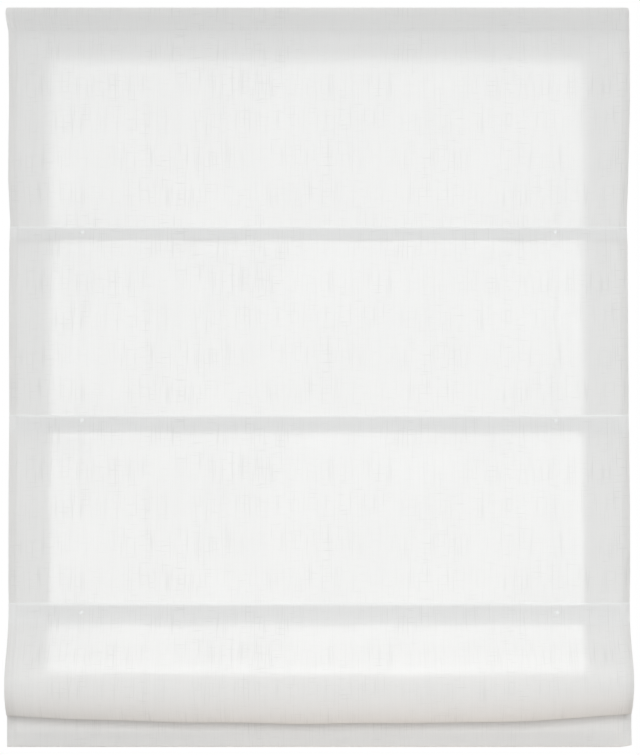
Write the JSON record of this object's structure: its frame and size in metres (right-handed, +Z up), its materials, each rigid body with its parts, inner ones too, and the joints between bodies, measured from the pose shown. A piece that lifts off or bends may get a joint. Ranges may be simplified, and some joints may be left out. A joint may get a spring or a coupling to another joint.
{
  "type": "roman blind",
  "caption": "Flat roman blind of white slub-weave cloth with batten pockets, a forward fold and skirt at the bottom, and a cordless spring lift in its rail.",
  "frame": {"origin": "on the wall plane, at the centre of the four screw holes of the two wall brackets", "axes": "+Z up, +Y into the wall, +X to the right as seen from the room"},
  "size_m": [1, 0.1025, 1.191],
  "materials": {
    "cloth": "plain slub weave",
    "pocket_cloth": "woven tape",
    "tape": "hook and loop pile",
    "cord": "braided polyester",
    "rail_alloy": "satin anodised",
    "bracket_steel": "white powder coat",
    "shaft_steel": "zinc plated",
    "spring_steel": "oiled",
    "white_plastic": "moulded",
    "spool_plastic": "natural acetal",
    "grey_plastic": "moulded",
    "ring_plastic": "moulded",
    "batten_rod": "pultruded glass fibre"
  },
  "bodies": {
    "rail": {"headrail": "rail_alloy", "end_cap_left": "white_plastic", "end_cap_right": "white_plastic", "bracket_left": "bracket_steel", "bracket_right": "bracket_steel", "hook_tape": "tape", "loop_tape": "tape", "cord_eyelets": "white_plastic", "spool_cradle_left": "grey_plastic", "spool_cradle_right": "grey_plastic", "motor_case": "grey_plastic", "motor_cover": "grey_plastic", "motor_spring": "spring_steel", "brake_housing": "grey_plastic", "blind_fabric": "cloth", "lift_cord_left": "cord", "lift_cord_right": "cord"},
    "drive": {"drive_shaft": "shaft_steel", "cord_spool_left": "spool_plastic", "cord_spool_right": "spool_plastic", "motor_hub": "spool_plastic", "brake_drum": "spool_plastic", "shaft_clips": "spring_steel"},
    "latch_left": {"latch_cam_left": "white_plastic", "latch_lever_left": "white_plastic"},
    "latch_right": {"latch_cam_right": "white_plastic", "latch_lever_right": "white_plastic"},
    "top_batten": {"batten_1": "batten_rod", "batten_tips_1": "white_plastic", "batten_pocket_1": "pocket_cloth", "cord_rings_1": "ring_plastic"},
    "middle_batten": {"batten_2": "batten_rod", "batten_tips_2": "white_plastic", "batten_pocket_2": "pocket_cloth", "cord_rings_2": "ring_plastic"},
    "lower_batten": {"batten_3": "batten_rod", "batten_tips_3": "white_plastic", "batten_pocket_3": "pocket_cloth", "cord_rings_3": "ring_plastic"},
    "bottom": {"batten_4": "batten_rod", "batten_tips_4": "white_plastic", "batten_pocket_4": "pocket_cloth", "cord_rings_4": "ring_plastic", "cord_stops": "white_plastic", "bottom_bar": "rail_alloy", "bottom_bar_caps": "white_plastic"}
  },
  "joints": [
    {"name": "top_batten_lift", "type": "slide", "parent": "rail", "child": "top_batten", "axis": [0, 0, 1], "range_m": [0, 0.29], "deforming": ["blind_fabric", "lift_cord_left", "lift_cord_right"]},
    {"name": "middle_batten_lift", "type": "slide", "parent": "top_batten", "child": "middle_batten", "axis": [0, 0, 1], "range_m": [0, 0.276]},
    {"name": "lower_batten_lift", "type": "slide", "parent": "middle_batten", "child": "lower_batten", "axis": [0, 0, 1], "range_m": [0, 0.27]},
    {"name": "bottom_lift", "type": "slide", "parent": "lower_batten", "child": "bottom", "axis": [0, 0, 1], "range_m": [-0.126, 0.074]},
    {"name": "drive_turn", "type": "hinge", "parent": "rail", "child": "drive", "pos_m": [0, -0.0219, 0], "axis": [1, 0, 0], "range_deg": [-462.9, 786.7]},
    {"name": "latch_left_turn", "type": "hinge", "parent": "rail", "child": "latch_left", "pos_m": [-0.33, -0.024, 0.016], "axis": [0, 0, 1], "range_deg": [0, 90]},
    {"name": "latch_right_turn", "type": "hinge", "parent": "rail", "child": "latch_right", "pos_m": [0.33, -0.024, 0.016], "axis": [0, 0, 1], "range_deg": [-90, 0]}
  ],
  "couplings": [
    {"joint": "drive_turn", "follows": "bottom_lift", "rad_per_m": -108.7}
  ]
}
